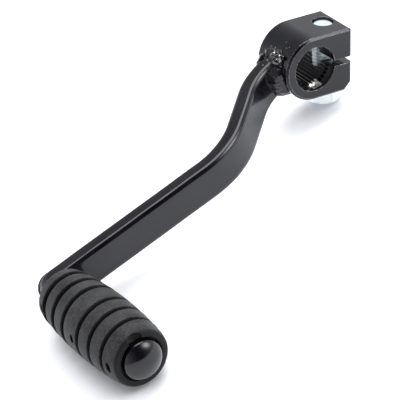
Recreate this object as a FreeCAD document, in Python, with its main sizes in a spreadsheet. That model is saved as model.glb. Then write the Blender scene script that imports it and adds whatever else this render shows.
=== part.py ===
import FreeCAD
import Part
import os
import Sketcher
from math import degrees, tan

# Gear shift lever of a motorcycle, in millimetres.
#
# Row frame: the origin is the centre of the splined bore, halfway along the hub.  +Y runs along the bore
# towards the engine and +Z is up for a lever that lies on its rubber grip and its bolt head.
#
# Three local frames are used, all turned about Y and nothing else:
#   hub frame   X along the slit, away from the arm; Z along the clamp bolt, from its head to its tip
#   arm frame   X along the straight part of the arm, from the grip to the hub; Z across the bar's height
#   peg frame   the arm frame moved to the foot peg's axis

Vector = FreeCAD.Vector
ALONG_Y = Vector(0, 1, 0)

# ---------------------------------------------------------------------------------------------------------
# Driving dimensions
# ---------------------------------------------------------------------------------------------------------
DIMENSIONS = {
    # attitude
    "lean": 20,  # hub frame to row frame, degrees about Y: bolt head and grip both touch the floor
    "arm_drop": 25.8,  # arm direction below the slit direction, degrees
    # hub
    "hub_width": 20,
    "hub_radius": 12.4,
    "hub_front": 16.4,  # bore centre to the flat at the slit's mouth
    "hub_bevel": 0.8,
    "corner_round": 1.4,
    "corner_cut": 3,
    "slit_width": 2.5,
    "spline_tip_radius": 7.9,
    "spline_root_radius": 8.5,
    "spline_teeth": 36,
    "tooth_gap_floor": 0.4,  # width of a tooth space at its floor
    "tooth_gap_mouth": 1.0,  # width of a tooth space at its mouth
    "recess_radius": 8.7,
    "recess_depth": 4.4,
    # clamp bolt, M8 x 1.25 x 25, and its spring washer
    "bolt_x": 10.75,
    "bolt_y": 1,
    "thread_radius": 3.95,
    "tapped_radius": 4.02,
    "clearance_radius": 4.2,
    "hole_chamfer": 0.1,
    "bolt_length": 25,
    "head_height": 5.3,
    "head_across_flats": 12,
    "head_face_radius": 5.7,  # round flat that the chamfer leaves on the head's outer face
    "tip_chamfer": 0.5,
    "washer_thickness": 1.2,
    "washer_inner_radius": 4.15,
    "washer_outer_radius": 6.3,
    "washer_gap": 1.2,
    # arm, a flat bar on edge
    "bar_thickness": 7,
    "bar_height": 14,
    "bar_edge_round": 2,
    "arm_rise": 2.1,  # height of the bar's middle above the bore centre, in the arm frame
    "arm_reach": 127,  # bore centre to peg axis, along the arm
    "arm_start": 8,
    "tip_centre": 125.7,  # bore centre to the middle of the arm's rounded end
    "arm_root_y": 0.6,
    "bend_one_x": 19.5,
    "bend_one_radius": 25,
    "bend_two_x": 48.4,
    "bend_two_y": -23.2,
    "bend_two_radius": 30,
    "arm_tip_y": -16.3,
    # foot peg
    "spigot_radius": 4,
    "spigot_sink": 0.9,  # how far the spigot's end stays below the arm's engine face
    "spigot_hole_radius": 4.03,
    "peg_radius": 6,
    "peg_shoulder_y": -20.9,
    "peg_head_radius": 7.55,
    "peg_head_y": -73,
    "peg_head_edge": 3,
    "peg_dome": 3.4,
    # rubber grip
    "grip_near_y": -21.2,
    "grip_end_y": -74.6,
    "grip_crown_radius": 12.7,
    "grip_crown_y": -50,
    "grip_barrel_radius": 178,
    "grip_lip": 1.4,
    "grip_hole_radius": 8.2,
    "groove_width": 2.1,
    "groove_depth": 2,
    # welds
    "side_weld_leg": 4.2,
    "side_weld_reach": 33,  # half of the angle that a side bead covers, degrees
    "edge_weld_leg": 3,
    "plug_weld_radius": 5.8,
    "plug_weld_height": 1.6,
    "plug_weld_gap": 0.55,  # the bar leans, so the button's flat side stays clear of the arm's engine face
}
GROOVE_PLACES = (-26.6, -34.1, -41.5, -51.8, -59.3, -66.8)
CLEAR = 1  # how far a cutting outline reaches beyond what it cuts
TOOTH_OVERLAP = 0.3  # how far a tooth space starts inside the bore
NEAR = 0.01  # edges are matched to their places within this
HEAD_CHAMFER_ANGLE = 30

doc = FreeCAD.newDocument("GearShiftLever")
sheet = doc.addObject("Spreadsheet::Sheet", "Sizes")
for row, (name, value) in enumerate(DIMENSIONS.items(), start=1):
    sheet.set(f"A{row}", name)
    sheet.set(f"B{row}", str(value))
    sheet.setAlias(f"B{row}", name)
for count, place in enumerate(GROOVE_PLACES, start=1):
    row = len(DIMENSIONS) + count
    sheet.set(f"A{row}", f"groove_place_{count}")
    sheet.set(f"B{row}", str(place))
    sheet.setAlias(f"B{row}", f"groove_place_{count}")
doc.recompute()


# ---------------------------------------------------------------------------------------------------------
# Helpers
# ---------------------------------------------------------------------------------------------------------
def size(name):
    """The value of one cell."""
    return float(sheet.get(name))


def amount(rule):
    """What an expression over the sheet comes to."""
    return float(sheet.evalExpression(rule))


def turn_about_y(item, angle_rule, base_rules=("0", "0", "0")):
    """Bind an item's placement: a turn about Y, and a base point."""
    item.Placement = FreeCAD.Placement(Vector(0, 0, 0), FreeCAD.Rotation(ALONG_Y, 1))
    item.setExpression("Placement.Rotation.Angle", angle_rule)
    for letter, rule in zip("xyz", base_rules):
        item.setExpression(f"Placement.Base.{letter}", rule)


def new_body(label):
    body = doc.addObject("PartDesign::Body", label)
    body.Label = label
    return body


def base_plane(body, role):
    for feature in body.Origin.OriginFeatures:
        if feature.Role == role:
            return feature
    raise ValueError(role)


def new_sketch(body, role, name, shift_rule=None):
    """A sketch on one of the body's own planes, shifted along the plane's normal when a rule is given."""
    sketch = body.newObject("Sketcher::SketchObject", name)
    sketch.AttachmentSupport = [(base_plane(body, role), "")]
    sketch.MapMode = "FlatFace"
    if shift_rule:
        sketch.setExpression("AttachmentOffset.Base.z", shift_rule)
    return sketch


def bind(sketch, constraint, rule):
    """Add a constraint whose value is an expression."""
    index = sketch.addConstraint(constraint)
    sketch.setExpression(f"Constraints[{index}]", rule)


def pin_point(sketch, geometry, end, x_rule, y_rule):
    """Hold one end of an edge at a place given by two expressions."""
    for kind, rule in (("DistanceX", x_rule), ("DistanceY", y_rule)):
        value = amount(rule)
        if abs(value) < 1e-9:
            axis = -2 if kind == "DistanceX" else -1
            sketch.addConstraint(Sketcher.Constraint("PointOnObject", geometry, end, axis))
        else:
            bind(sketch, Sketcher.Constraint(kind, -1, 1, geometry, end, value), rule)


def draw_circle(sketch, x_rule, y_rule, radius_rule):
    centre = Vector(amount(x_rule), amount(y_rule), 0)
    circle = sketch.addGeometry(Part.Circle(centre, Vector(0, 0, 1), amount(radius_rule)), False)
    pin_point(sketch, circle, 3, x_rule, y_rule)
    bind(sketch, Sketcher.Constraint("Radius", circle, amount(radius_rule)), radius_rule)


def arc_between(start, end, radius, bulge):
    """The short arc from start to end.  Bulge is +1 for one that lies left of the chord, -1 for right."""
    chord = end - start
    side = Vector(-chord.y, chord.x, 0).normalize() * bulge
    middle = (start + end) * 0.5
    sag = radius - (max(radius**2 - chord.Length**2 / 4, 0)) ** 0.5
    return Part.Arc(start, middle + side * sag, end)


def arc_ends(sketch, index, start):
    """The sketch's numbers for an arc's first and last ends, when the arc is to be walked from start."""
    forwards = (sketch.getPoint(index, 1) - start).Length < (sketch.getPoint(index, 2) - start).Length
    return (1, 2) if forwards else (2, 1)


def draw_mark(sketch, x_rule, y_rule):
    """A construction point."""
    mark = sketch.addGeometry(Part.Point(Vector(amount(x_rule), amount(y_rule), 0)), True)
    pin_point(sketch, mark, 1, x_rule, y_rule)
    return mark


def draw_outline(sketch, corners):
    """A closed run of lines and arcs through corners.

    A corner is (x rule, y rule), or (x rule, y rule, radius rule, bulge) when an arc leads to it.
    """
    points = [Vector(amount(corner[0]), amount(corner[1]), 0) for corner in corners]
    edges = []
    for number, start in enumerate(points):
        target = (number + 1) % len(corners)
        end = points[target]
        if len(corners[target]) == 4:
            radius_rule, bulge = corners[target][2:]
            arc = arc_between(start, end, amount(radius_rule), bulge)
            index = sketch.addGeometry(arc, False)
            edges.append((index, *arc_ends(sketch, index, start)))
            bind(sketch, Sketcher.Constraint("Radius", index, amount(radius_rule)), radius_rule)
        else:
            index = sketch.addGeometry(Part.LineSegment(start, end), False)
            edges.append((index, 1, 2))
    for number, (index, first, last) in enumerate(edges):
        pin_point(sketch, index, first, corners[number][0], corners[number][1])
        after = edges[(number + 1) % len(edges)]
        sketch.addConstraint(Sketcher.Constraint("Coincident", index, last, after[0], after[1]))


def add_pad(body, sketch, name, length_rule, midplane=False, reverse=False):
    pad = body.newObject("PartDesign::Pad", name)
    pad.Profile = sketch
    pad.setExpression("Length", length_rule)
    pad.Midplane = midplane
    pad.Reversed = reverse
    doc.recompute()
    return pad


def add_pocket(body, sketch, name, length_rule=None, midplane=False, reverse=False):
    """Cut a sketch out of the body, through all of it when no length is given, and check that it cut."""
    before = body.Shape.Volume
    pocket = body.newObject("PartDesign::Pocket", name)
    pocket.Profile = sketch
    if length_rule:
        pocket.setExpression("Length", length_rule)
    else:
        pocket.Type = "ThroughAll"
    pocket.Midplane = midplane
    pocket.Reversed = reverse
    doc.recompute()
    if not body.Shape.Volume < before - 1e-3:
        raise RuntimeError(f"{name} cuts nothing")
    return pocket


def add_turned(body, sketch, name, kind="PartDesign::Revolution"):
    """Turn a sketch about its own vertical axis, to add it or to cut it."""
    before = body.Shape.Volume if kind == "PartDesign::Groove" else None
    turned = body.newObject(kind, name)
    turned.Profile = sketch
    turned.ReferenceAxis = (sketch, ["V_Axis"])
    turned.Angle = 360
    doc.recompute()
    if before and not body.Shape.Volume < before - 1e-3:
        raise RuntimeError(f"{name} cuts nothing")
    return turned


def edge_names(feature, wanted):
    """The names of a feature's edges that pass a test."""
    return [f"Edge{number}" for number, edge in enumerate(feature.Shape.Edges, start=1) if wanted(edge)]


def dress_edges(body, kind, base, wanted, rule, name):
    """Fillet or chamfer the edges that pass a test."""
    names = edge_names(base, wanted)
    if not names:
        raise RuntimeError(f"{name} found no edge")
    dressed = body.newObject(kind, name)
    dressed.Base = (base, names)
    dressed.setExpression("Radius" if kind.endswith("Fillet") else "Size", rule)
    doc.recompute()
    return dressed


# ---------------------------------------------------------------------------------------------------------
# Clamp hub: a D-shaped block with a splined bore, slit on its flat side so that the bolt can pinch it
# ---------------------------------------------------------------------------------------------------------
def make_hub():
    body = new_body("clamp_hub")
    turn_about_y(body, "Sizes.lean")
    outline = new_sketch(body, "XZ_Plane", "hub_outline")
    # the round side is two quarter arcs, so that each arc is shorter than its half circle
    draw_outline(
        outline,
        [
            ("Sizes.hub_front", "Sizes.hub_radius"),
            ("0", "Sizes.hub_radius"),
            ("-Sizes.hub_radius", "0", "Sizes.hub_radius", -1),
            ("0", "-Sizes.hub_radius", "Sizes.hub_radius", -1),
            ("Sizes.hub_front", "-Sizes.hub_radius"),
        ],
    )
    block = add_pad(body, outline, "hub_block", "Sizes.hub_width", midplane=True)

    front, high, half = size("hub_front"), size("hub_radius"), size("hub_width") / 2

    def corner_edge(level):
        def wanted(edge):
            middle = edge.BoundBox.Center
            return (middle - Vector(front, 0, level)).Length < NEAR

        return wanted

    upper_corner, lower_corner = corner_edge(high), corner_edge(-high)
    block = dress_edges(body, "PartDesign::Fillet", block, upper_corner, "Sizes.corner_round", "top_round")
    block = dress_edges(body, "PartDesign::Chamfer", block, lower_corner, "Sizes.corner_cut", "low_cut")

    def rim_edge(edge):
        return edge.BoundBox.YLength < NEAR and abs(abs(edge.BoundBox.Center.y) - half) < NEAR

    dress_edges(body, "PartDesign::Chamfer", block, rim_edge, "Sizes.hub_bevel", "face_bevel")

    bore = new_sketch(body, "XZ_Plane", "bore_circle")
    draw_circle(bore, "0", "0", "Sizes.spline_tip_radius")
    add_pocket(body, bore, "bore", midplane=True)

    # the sketch lies on the hub's engine side, and the tooth spaces run from there to the plain recess
    space = new_sketch(body, "XZ_Plane", "tooth_space_outline", "-Sizes.hub_width / 2")
    inner = f"Sizes.spline_tip_radius - {TOOTH_OVERLAP}"
    draw_outline(
        space,
        [
            (inner, "-Sizes.tooth_gap_mouth / 2"),
            ("Sizes.spline_root_radius", "-Sizes.tooth_gap_floor / 2"),
            ("Sizes.spline_root_radius", "Sizes.tooth_gap_floor / 2"),
            (inner, "Sizes.tooth_gap_mouth / 2"),
        ],
    )
    spline_length = "Sizes.hub_width - Sizes.recess_depth"
    first = add_pocket(body, space, "tooth_space", spline_length, reverse=True)
    teeth = body.newObject("PartDesign::PolarPattern", "spline")
    teeth.Originals = [first]
    teeth.Axis = (base_plane(body, "Y_Axis"), [""])
    teeth.Angle = 360
    teeth.setExpression("Occurrences", "Sizes.spline_teeth")
    body.Tip = teeth
    doc.recompute()

    # plain recess at the open end of the bore, on the foot side
    recess = new_sketch(body, "XZ_Plane", "recess_circle", "Sizes.hub_width / 2")
    draw_circle(recess, "0", "0", "Sizes.recess_radius")
    add_pocket(body, recess, "bore_recess", "Sizes.recess_depth")

    slit = new_sketch(body, "XZ_Plane", "slit_outline")
    low, top = "-Sizes.slit_width / 2", "Sizes.slit_width / 2"
    start, stop = f"Sizes.spline_tip_radius - {CLEAR}", f"Sizes.hub_front + {CLEAR}"
    draw_outline(slit, [(start, low), (stop, low), (stop, top), (start, top)])
    add_pocket(body, slit, "slit", midplane=True)

    upper = new_sketch(body, "XY_Plane", "tapped_circle")
    draw_circle(upper, "Sizes.bolt_x", "Sizes.bolt_y", "Sizes.tapped_radius")
    add_pocket(body, upper, "tapped_hole", f"Sizes.hub_radius + {CLEAR}", reverse=True)
    lower = new_sketch(body, "XY_Plane", "clearance_circle")
    draw_circle(lower, "Sizes.bolt_x", "Sizes.bolt_y", "Sizes.clearance_radius")
    drilled = add_pocket(body, lower, "clearance_hole", f"Sizes.hub_radius + {CLEAR}")

    centre = Vector(size("bolt_x"), size("bolt_y"), high)

    def hole_rim(edge):
        near = (edge.BoundBox.Center - centre).Length < NEAR
        return near and abs(edge.BoundBox.XLength - 2 * size("tapped_radius")) < NEAR

    dress_edges(body, "PartDesign::Chamfer", drilled, hole_rim, "Sizes.hole_chamfer", "tap_chamfer")
    return body


# ---------------------------------------------------------------------------------------------------------
# Arm: a flat bar on edge, bent twice towards the foot, coped onto the hub and rounded at the peg
# ---------------------------------------------------------------------------------------------------------
def bend_ends(before, corner, after, radius):
    """Where an arc of this radius starts and ends between two straight runs."""
    back, ahead = (before - corner).normalize(), (after - corner).normalize()
    half_turn = (FreeCAD.Vector(back).getAngle(ahead)) / 2
    reach = radius / tan(half_turn)
    return corner + back * reach, corner + ahead * reach


# the bar's middle line runs on past the peg, one bar height, and is cut back to the round tip
TIP_SLOPE = "(Sizes.arm_tip_y - Sizes.bend_two_y) / (Sizes.arm_reach - Sizes.bend_two_x)"
TIP_RULES = (
    "-Sizes.arm_reach - Sizes.bar_height",
    f"Sizes.arm_tip_y + {TIP_SLOPE} * Sizes.bar_height",
)


def make_arm():
    body = new_body("shift_arm")
    turn_about_y(body, "Sizes.lean - Sizes.arm_drop")
    root = Vector(-size("arm_start"), size("arm_root_y"), 0)
    bend_one = Vector(-size("bend_one_x"), size("arm_root_y"), 0)
    bend_two = Vector(-size("bend_two_x"), size("bend_two_y"), 0)
    tip = Vector(amount(TIP_RULES[0]), amount(TIP_RULES[1]), 0)
    runs = [
        (root, *bend_ends(root, bend_one, bend_two, size("bend_one_radius"))),
        (None, *bend_ends(bend_one, bend_two, tip, size("bend_two_radius"))),
    ]

    path = new_sketch(body, "XY_Plane", "arm_path")
    stops = [root, runs[0][1], runs[0][2], runs[1][1], runs[1][2], tip]
    lines = [
        path.addGeometry(Part.LineSegment(stops[number], stops[number + 1]), False) for number in (0, 2, 4)
    ]
    arcs = [
        path.addGeometry(arc_between(runs[0][1], runs[0][2], size("bend_one_radius"), -1), False),
        path.addGeometry(arc_between(runs[1][1], runs[1][2], size("bend_two_radius"), 1), False),
    ]
    for number, arc in enumerate(arcs):
        near, far = arc_ends(path, arc, runs[number][1])
        path.addConstraint(Sketcher.Constraint("Tangent", lines[number], 2, arc, near))
        path.addConstraint(Sketcher.Constraint("Tangent", arc, far, lines[number + 1], 1))
        rule = ("Sizes.bend_one_radius", "Sizes.bend_two_radius")[number]
        bind(path, Sketcher.Constraint("Radius", arc, amount(rule)), rule)
    pin_point(path, lines[0], 1, "-Sizes.arm_start", "Sizes.arm_root_y")
    path.addConstraint(Sketcher.Constraint("Horizontal", lines[0]))
    first_corner = draw_mark(path, "-Sizes.bend_one_x", "Sizes.arm_root_y")
    second_corner = draw_mark(path, "-Sizes.bend_two_x", "Sizes.bend_two_y")
    for mark, line in ((first_corner, lines[1]), (second_corner, lines[1]), (second_corner, lines[2])):
        path.addConstraint(Sketcher.Constraint("PointOnObject", mark, 1, line))
    pin_point(path, lines[2], 2, *TIP_RULES)
    doc.recompute()

    section = new_sketch(body, "YZ_Plane", "bar_section", "-Sizes.arm_start")
    low, top = "Sizes.arm_root_y - Sizes.bar_thickness / 2", "Sizes.arm_root_y + Sizes.bar_thickness / 2"
    foot, head = "Sizes.arm_rise - Sizes.bar_height / 2", "Sizes.arm_rise + Sizes.bar_height / 2"
    turn = "Sizes.bar_edge_round"
    draw_outline(
        section,
        [
            (f"{low} + {turn}", foot, turn, -1),
            (f"{top} - {turn}", foot),
            (top, f"{foot} + {turn}", turn, -1),
            (top, f"{head} - {turn}"),
            (f"{top} - {turn}", head, turn, -1),
            (f"{low} + {turn}", head),
            (low, f"{head} - {turn}", turn, -1),
            (low, f"{foot} + {turn}"),
        ],
    )
    bar = body.newObject("PartDesign::AdditivePipe", "bar")
    bar.Profile = section
    bar.Spine = path
    doc.recompute()

    cope = new_sketch(body, "XZ_Plane", "cope_circle")
    draw_circle(cope, "0", "0", "Sizes.hub_radius")
    add_pocket(body, cope, "cope", midplane=True)

    tip_cut = new_sketch(body, "XZ_Plane", "tip_outline")
    radius = "Sizes.bar_height / 2"
    centre_x, past = "-Sizes.tip_centre", f"-Sizes.arm_reach - Sizes.bar_height - {CLEAR}"
    above, below = f"Sizes.arm_rise + {radius}", f"Sizes.arm_rise - {radius}"
    draw_outline(
        tip_cut,
        [
            (centre_x, above, radius, 1),
            (centre_x, f"{above} + {CLEAR}"),
            (past, f"{above} + {CLEAR}"),
            (past, f"{below} - {CLEAR}"),
            (centre_x, f"{below} - {CLEAR}"),
            (centre_x, below),
            (f"{centre_x} - {radius}", "Sizes.arm_rise", radius, 1),
        ],
    )
    add_pocket(body, tip_cut, "round_tip", midplane=True)

    hole = new_sketch(body, "XZ_Plane", "peg_hole_circle")
    draw_circle(hole, "-Sizes.arm_reach", "Sizes.arm_rise", "Sizes.spigot_hole_radius")
    add_pocket(body, hole, "peg_hole", midplane=True)
    return body


# ---------------------------------------------------------------------------------------------------------
# Foot peg: a turned rod with a spigot through the arm and a domed head that keeps the rubber on
# ---------------------------------------------------------------------------------------------------------
ARM_TURN = "Sizes.lean - Sizes.arm_drop"
PEG_BASE = (
    f"-Sizes.arm_reach * cos({ARM_TURN}) + Sizes.arm_rise * sin({ARM_TURN})",
    "0",
    f"Sizes.arm_reach * sin({ARM_TURN}) + Sizes.arm_rise * cos({ARM_TURN})",
)
FAR_FACE = "Sizes.arm_tip_y + Sizes.bar_thickness / 2"


def make_peg():
    body = new_body("foot_peg")
    turn_about_y(body, ARM_TURN, PEG_BASE)
    half = new_sketch(body, "XY_Plane", "peg_outline")
    edge = "Sizes.peg_head_y - Sizes.peg_head_edge"
    dome_radius = "(Sizes.peg_head_radius ^ 2 + Sizes.peg_dome ^ 2) / (2 * Sizes.peg_dome)"
    draw_outline(
        half,
        [
            ("0", f"{FAR_FACE} - Sizes.spigot_sink"),
            ("0", f"{edge} - Sizes.peg_dome"),
            ("Sizes.peg_head_radius", edge, dome_radius, -1),
            ("Sizes.peg_head_radius", "Sizes.peg_head_y"),
            ("Sizes.peg_radius", "Sizes.peg_head_y"),
            ("Sizes.peg_radius", "Sizes.peg_shoulder_y"),
            ("Sizes.spigot_radius", "Sizes.peg_shoulder_y"),
            ("Sizes.spigot_radius", f"{FAR_FACE} - Sizes.spigot_sink"),
        ],
    )
    add_turned(body, half, "peg_turned")
    return body


def barrel_radius(place_rule):
    """The grip's outer radius at a place along it."""
    drop = f"(({place_rule}) - Sizes.grip_crown_y) ^ 2 / (2 * Sizes.grip_barrel_radius)"
    return f"Sizes.grip_crown_radius - {drop}"


def make_grip():
    body = new_body("grip_rubber")
    turn_about_y(body, ARM_TURN, PEG_BASE)
    half = new_sketch(body, "XY_Plane", "grip_outline")
    near, end = "Sizes.grip_near_y", "Sizes.grip_end_y"
    near_edge, end_edge = f"{near} - Sizes.grip_lip", f"{end} + Sizes.grip_lip"
    draw_outline(
        half,
        [
            ("Sizes.peg_radius", near),
            (f"{barrel_radius(near)} - Sizes.grip_lip", near),
            (barrel_radius(near_edge), near_edge),
            (barrel_radius(end_edge), end_edge, "Sizes.grip_barrel_radius", 1),
            (f"{barrel_radius(end)} - Sizes.grip_lip", end),
            ("Sizes.grip_hole_radius", end),
            ("Sizes.grip_hole_radius", "Sizes.peg_head_y"),
            ("Sizes.peg_radius", "Sizes.peg_head_y"),
        ],
    )
    add_turned(body, half, "grip_turned")
    for number in range(1, len(GROOVE_PLACES) + 1):
        place = f"Sizes.groove_place_{number}"
        floor = f"{barrel_radius(place)} - Sizes.groove_depth"
        mouth = f"{barrel_radius(place)} + {CLEAR}"
        near_side, far_side = f"{place} + Sizes.groove_width / 2", f"{place} - Sizes.groove_width / 2"
        cut = new_sketch(body, "XY_Plane", f"groove_outline_{number}")
        draw_outline(cut, [(floor, near_side), (mouth, near_side), (mouth, far_side), (floor, far_side)])
        add_turned(body, cut, f"groove_{number}", kind="PartDesign::Groove")
    return body


# ---------------------------------------------------------------------------------------------------------
# Clamp bolt and its spring washer, drawn about the bolt's axis with the bore centre's level at zero
# ---------------------------------------------------------------------------------------------------------
BOLT_BASE = (
    "Sizes.bolt_x * cos(Sizes.lean)",
    "Sizes.bolt_y",
    "-Sizes.bolt_x * sin(Sizes.lean)",
)
SEAT = "(-Sizes.hub_radius - Sizes.washer_thickness)"


def make_bolt():
    body = new_body("clamp_bolt")
    turn_about_y(body, "Sizes.lean", BOLT_BASE)
    hexagon = new_sketch(body, "XY_Plane", "head_outline", f"{SEAT} - Sizes.head_height")
    corner = "(Sizes.head_across_flats / sqrt(3))"
    corners = [(f"{corner} * cos({60 * side})", f"{corner} * sin({60 * side})") for side in range(6)]
    draw_outline(hexagon, corners)
    add_pad(body, hexagon, "head", "Sizes.head_height")

    # the cone that takes the six corners off the head's outer face
    face, flat, beyond = f"({SEAT} - Sizes.head_height)", "Sizes.head_face_radius", f"({corner} + {CLEAR})"
    cone = new_sketch(body, "XZ_Plane", "corner_outline")
    draw_outline(
        cone,
        [
            (flat, face),
            (beyond, f"{face} + ({beyond} - {flat}) * tan({HEAD_CHAMFER_ANGLE})"),
            (beyond, f"{face} - {CLEAR}"),
            (flat, f"{face} - {CLEAR}"),
        ],
    )
    add_turned(body, cone, "head_corners", kind="PartDesign::Groove")

    shank = new_sketch(body, "XZ_Plane", "shank_outline")
    tip = f"{SEAT} + Sizes.bolt_length"
    draw_outline(
        shank,
        [
            ("0", SEAT),
            ("Sizes.thread_radius", SEAT),
            ("Sizes.thread_radius", f"{tip} - Sizes.tip_chamfer"),
            ("Sizes.thread_radius - Sizes.tip_chamfer", tip),
            ("0", tip),
        ],
    )
    add_turned(body, shank, "shank")
    return body


def make_washer():
    body = new_body("lock_washer")
    turn_about_y(body, "Sizes.lean", BOLT_BASE)
    ring = new_sketch(body, "XY_Plane", "washer_circles", SEAT)
    draw_circle(ring, "0", "0", "Sizes.washer_outer_radius")
    draw_circle(ring, "0", "0", "Sizes.washer_inner_radius")
    add_pad(body, ring, "ring", "Sizes.washer_thickness")
    gap = new_sketch(body, "XY_Plane", "gap_outline", f"{SEAT} - {CLEAR}")
    low, top = "-Sizes.washer_gap / 2", "Sizes.washer_gap / 2"
    start, stop = f"Sizes.washer_inner_radius - {CLEAR}", f"Sizes.washer_outer_radius + {CLEAR}"
    draw_outline(gap, [(start, low), (stop, low), (stop, top), (start, top)])
    add_pocket(body, gap, "gap", f"Sizes.washer_thickness + 2 * {CLEAR}", reverse=True)
    return body


# ---------------------------------------------------------------------------------------------------------
# Weld beads: round beads laid in the corners between the bar and the hub, less what the two take up
# ---------------------------------------------------------------------------------------------------------
LAID_ALONG_Y = FreeCAD.Rotation(Vector(1, 0, 0), 90)  # a cylinder's own Z goes to -Y


def make_hub_side():
    """The hub's round side as a plain cylinder, which the beads are cut against."""
    drum = doc.addObject("Part::Cylinder", "hub_side")
    drum.setExpression("Radius", "Sizes.hub_radius")
    drum.setExpression("Height", "2 * Sizes.hub_width")
    drum.Placement = FreeCAD.Placement(Vector(0, size("hub_width"), 0), LAID_ALONG_Y)
    return drum


def make_bar_slab():
    """The layer of space that the bar's thickness takes up at its root, which parts the four beads."""
    slab = doc.addObject("Part::Box", "bar_layer")
    for side in ("Length", "Height"):
        slab.setExpression(side, "4 * Sizes.hub_radius")
    slab.setExpression("Width", "Sizes.bar_thickness")
    corner = Vector(-2, 0, -2) * size("hub_radius")
    corner.y = size("arm_root_y") - size("bar_thickness") / 2
    slab.Placement = FreeCAD.Placement(corner, FreeCAD.Rotation())
    return slab


def cut_bead(label, bead, tools):
    """A bead, less each of the tools in turn."""
    for number, tool in enumerate(tools, start=1):
        last = number == len(tools)
        trimmed = doc.addObject("Part::Cut", label if last else f"{label}_cut_{number}")
        trimmed.Base = bead
        trimmed.Tool = tool
        bead = trimmed
        doc.recompute()
    bead.Label = label
    return bead


def make_side_weld(label, side, tools):
    """A bead along the arc where one broad face of the bar meets the hub."""
    bead = doc.addObject("Part::Torus", f"{label}_bead")
    bead.setExpression("Radius1", "Sizes.hub_radius")
    bead.setExpression("Radius2", "Sizes.side_weld_leg")
    bead.setExpression("Angle3", "2 * Sizes.side_weld_reach")
    # the torus turns about its own Z, which goes to Y; its start goes to the lower end of the bead
    upright = FreeCAD.Rotation(Vector(1, 0, 0), -90)
    middle_turn = degrees(size("arm_rise") / size("hub_radius"))
    start = amount(ARM_TURN) + 180 - size("side_weld_reach") + middle_turn
    place = size("arm_root_y") + side * size("bar_thickness") / 2
    turn = FreeCAD.Rotation(ALONG_Y, start).multiply(upright)
    bead.Placement = FreeCAD.Placement(Vector(0, place, 0), turn)
    return cut_bead(label, bead, tools)


def make_edge_weld(label, side, tools):
    """A bead across the bar's thickness, where its top or bottom edge meets the hub."""
    bead = doc.addObject("Part::Cylinder", f"{label}_bead")
    bead.setExpression("Radius", "Sizes.edge_weld_leg")
    bead.setExpression("Height", "Sizes.bar_thickness")
    level = size("arm_rise") + side * size("bar_height") / 2
    along = -((size("hub_radius") ** 2 - level**2) ** 0.5)
    turn = FreeCAD.Rotation(ALONG_Y, amount(ARM_TURN))
    start = Vector(along, size("arm_root_y") + size("bar_thickness") / 2, level)
    bead.Placement = FreeCAD.Placement(turn.multVec(start), turn.multiply(LAID_ALONG_Y))
    return cut_bead(label, bead, tools)


def make_plug_weld():
    """The low button of weld over the spigot's end, on the arm's engine side."""
    body = new_body("weld_plug")
    turn_about_y(body, ARM_TURN, PEG_BASE)
    half = new_sketch(body, "XY_Plane", "plug_outline")
    height, radius = "Sizes.plug_weld_height", "Sizes.plug_weld_radius"
    foot = f"{FAR_FACE} + Sizes.plug_weld_gap"
    dome_radius = f"({radius} ^ 2 + {height} ^ 2) / (2 * {height})"
    draw_outline(half, [("0", foot), (radius, foot), ("0", f"{foot} + {height}", dome_radius, -1)])
    add_turned(body, half, "plug_turned")
    return body


# ---------------------------------------------------------------------------------------------------------
# The lever
# ---------------------------------------------------------------------------------------------------------
hub = make_hub()
arm = make_arm()
hub_side = make_hub_side()
bar_layer = make_bar_slab()
pieces = [
    hub,
    arm,
    make_side_weld("weld_foot_side", -1, [hub_side, arm, bar_layer]),
    make_side_weld("weld_engine_side", 1, [hub_side, arm, bar_layer]),
    make_edge_weld("weld_upper_edge", 1, [hub_side, arm]),
    make_edge_weld("weld_lower_edge", -1, [hub_side, arm]),
    make_plug_weld(),
    make_peg(),
    make_grip(),
    make_washer(),
    make_bolt(),
]
doc.recompute()

for item in doc.Objects:
    faults = [word for word in item.State if word in ("Invalid", "Error")]
    if faults:
        raise RuntimeError(f"{item.Name} is {faults}")
os.makedirs("parts", exist_ok=True)
for piece in pieces:
    shape = piece.Shape
    if shape.isNull() or not shape.isValid() or not shape.Solids:
        raise RuntimeError(f"{piece.Label} has no valid solid")
    shape.exportStep(f"parts/{piece.Label}.step")
    print(f"{piece.Label:18} solids {len(shape.Solids)}  volume {shape.Volume:9.1f} mm3")
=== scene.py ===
import random
from math import asin, cos, degrees, pi, radians, sin, sqrt, tan, tau

import bmesh
import bpy
from mathutils import Matrix, Vector, noise


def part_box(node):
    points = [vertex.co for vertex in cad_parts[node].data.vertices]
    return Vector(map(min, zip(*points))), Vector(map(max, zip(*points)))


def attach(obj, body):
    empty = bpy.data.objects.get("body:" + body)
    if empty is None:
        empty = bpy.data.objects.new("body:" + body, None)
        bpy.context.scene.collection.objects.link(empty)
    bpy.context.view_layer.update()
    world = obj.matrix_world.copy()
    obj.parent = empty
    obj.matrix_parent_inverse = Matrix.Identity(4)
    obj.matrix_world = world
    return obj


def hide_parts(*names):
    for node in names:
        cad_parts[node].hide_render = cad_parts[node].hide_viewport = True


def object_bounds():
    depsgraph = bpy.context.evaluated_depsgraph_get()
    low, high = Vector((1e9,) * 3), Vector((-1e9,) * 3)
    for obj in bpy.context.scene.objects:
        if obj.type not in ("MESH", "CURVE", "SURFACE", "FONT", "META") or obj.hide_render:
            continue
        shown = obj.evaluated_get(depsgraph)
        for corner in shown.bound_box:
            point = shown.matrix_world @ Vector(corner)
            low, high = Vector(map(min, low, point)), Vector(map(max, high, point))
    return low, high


# Gear shift lever: a splined clamp hub with its bolt, a twice bent flat arm welded to it, and a rubber grip
# on a steel peg.  Pieces are modelled in millimetres, in one of three frames that differ by a turn about Y:
#   row frame   the CAD's own
#   hub frame   X along the slit, Z along the clamp bolt
#   arm frame   X along the arm as the side view shows it, Z across the bar's height
# mesh_piece() brings them to the row frame, in metres.

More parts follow.
